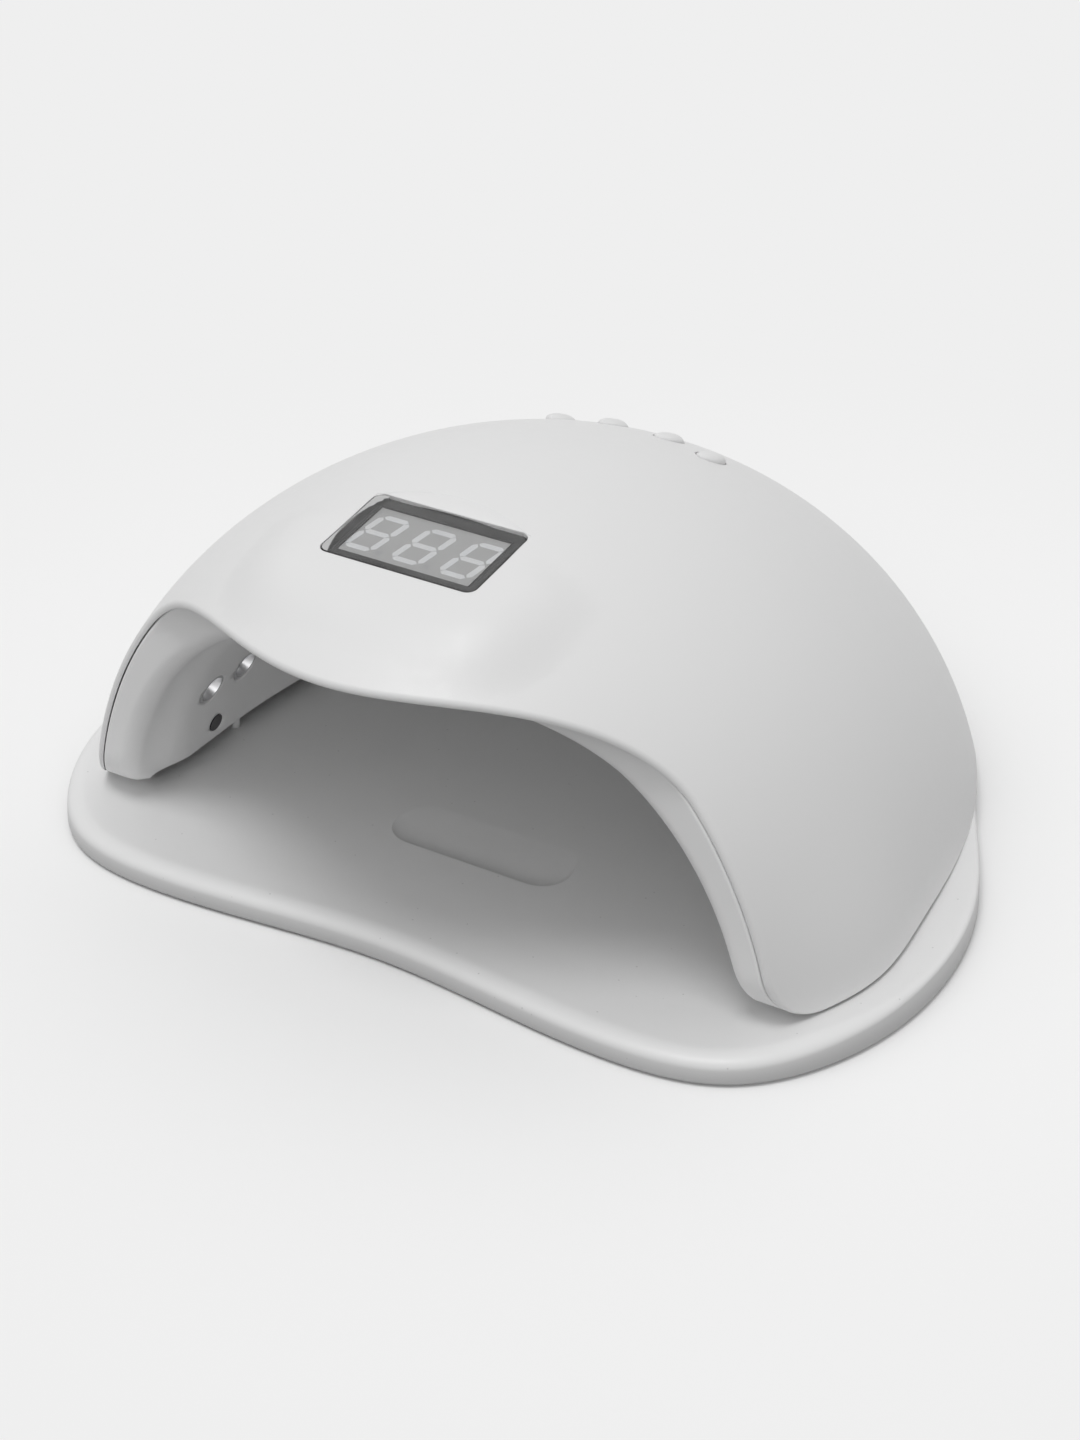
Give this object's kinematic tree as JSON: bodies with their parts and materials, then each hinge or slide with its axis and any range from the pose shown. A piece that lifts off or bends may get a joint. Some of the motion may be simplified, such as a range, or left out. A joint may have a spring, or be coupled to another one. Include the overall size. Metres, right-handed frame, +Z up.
{
  "type": "uv curing lamp",
  "caption": "Domed white curing lamp with a wide arched hand opening, a digital timer display, leaf-shaped push buttons and a flat lift-off base tray.",
  "frame": {"origin": "on the table, under the middle of the lamp: the bottom of the rubber feet, midway between the lip at the front and the tray at the back, and midway between the sides", "axes": "+X across, to the right as seen from the front; -Y out of the open front; +Z up"},
  "size_m": [0.2362, 0.2194, 0.1041],
  "materials": {
    "board_green": "solder mask on glass-fibre board",
    "button_white": "satin moulded white plastic",
    "buzzer_black": "moulded black plastic",
    "can_aluminium": "plain aluminium can",
    "chip_black": "moulded black package",
    "coil_grey": "ferrite",
    "cover_white": "fine-textured white plastic",
    "cup_chrome": "vacuum-metallised reflector",
    "display_grey": "matt grey display face",
    "film_clear": "thin clear protective film",
    "foot_rubber": "soft black rubber",
    "gasket_black": "black foam",
    "inlet_black": "moulded black plastic",
    "keeper_steel": "plain steel",
    "led_board_aluminium": "aluminium board with white coating",
    "led_yellow": "clear resin over a pale yellow chip",
    "liner_white": "satin moulded white plastic",
    "magnet_nickel": "nickel-plated magnet",
    "nut_steel": "nickel-plated steel",
    "pad_rubber": "soft pale rubber",
    "pin_brass": "plated brass",
    "screw_steel": "zinc-plated steel",
    "segment_white": "milky diffuser resin",
    "sensor_dark": "dark infrared-clear resin",
    "shell_white": "satin moulded white plastic",
    "socket_white": "natural nylon",
    "stem_black": "moulded black plastic",
    "switch_black": "moulded black plastic",
    "tray_white": "satin moulded white plastic",
    "window_clear": "clear moulded window"
  },
  "bodies": {
    "base": {"base_tray": "tray_white", "base_cover": "cover_white", "base_feet": "foot_rubber", "base_screws": "screw_steel", "magnet_keepers": "keeper_steel"},
    "lamp_head": {"buzzer": "buzzer_black", "display_board": "board_green", "display_board_screws": "screw_steel", "display_gasket": "gasket_black", "display_module": "display_grey", "display_segments": "segment_white", "display_window": "window_clear", "driver_board": "board_green", "driver_board_screws": "screw_steel", "driver_capacitors": "can_aluminium", "driver_chip": "chip_black", "driver_coils": "coil_grey", "driver_sockets": "socket_white", "head_magnets": "magnet_nickel", "head_pads": "pad_rubber", "inlet_nut": "nut_steel", "inlet_pin": "pin_brass", "inner_liner": "liner_white", "key_board": "board_green", "key_board_screws": "screw_steel", "key_switches": "switch_black", "led_boards": "led_board_aluminium", "led_chips": "led_yellow", "liner_screws": "screw_steel", "power_inlet": "inlet_black", "reflector_cups": "cup_chrome", "sensor_emitter": "sensor_dark", "sensor_receiver": "sensor_dark", "upper_shell": "shell_white", "window_film": "film_clear"},
    "key_10s": {"button_10s": "button_white", "switch_stem_10s": "stem_black"},
    "key_30s": {"button_30s": "button_white", "switch_stem_30s": "stem_black"},
    "key_60s": {"button_60s": "button_white", "switch_stem_60s": "stem_black"},
    "key_99s": {"button_99s": "button_white", "switch_stem_99s": "stem_black"}
  },
  "joints": [
    {"name": "head_lift", "type": "slide", "parent": "base", "child": "lamp_head", "axis": [0, 0, 1], "range_m": [0, 0.06]},
    {"name": "press_10s", "type": "slide", "parent": "lamp_head", "child": "key_10s", "axis": [0, -0.4286, -0.9035], "range_m": [0, 0.0005], "stiffness_N_per_m": 2500},
    {"name": "press_30s", "type": "slide", "parent": "lamp_head", "child": "key_30s", "axis": [0, -0.4286, -0.9035], "range_m": [0, 0.0005], "stiffness_N_per_m": 2500},
    {"name": "press_60s", "type": "slide", "parent": "lamp_head", "child": "key_60s", "axis": [0, -0.4286, -0.9035], "range_m": [0, 0.0005], "stiffness_N_per_m": 2500},
    {"name": "press_99s", "type": "slide", "parent": "lamp_head", "child": "key_99s", "axis": [0, -0.4286, -0.9035], "range_m": [0, 0.0005], "stiffness_N_per_m": 2500}
  ]
}
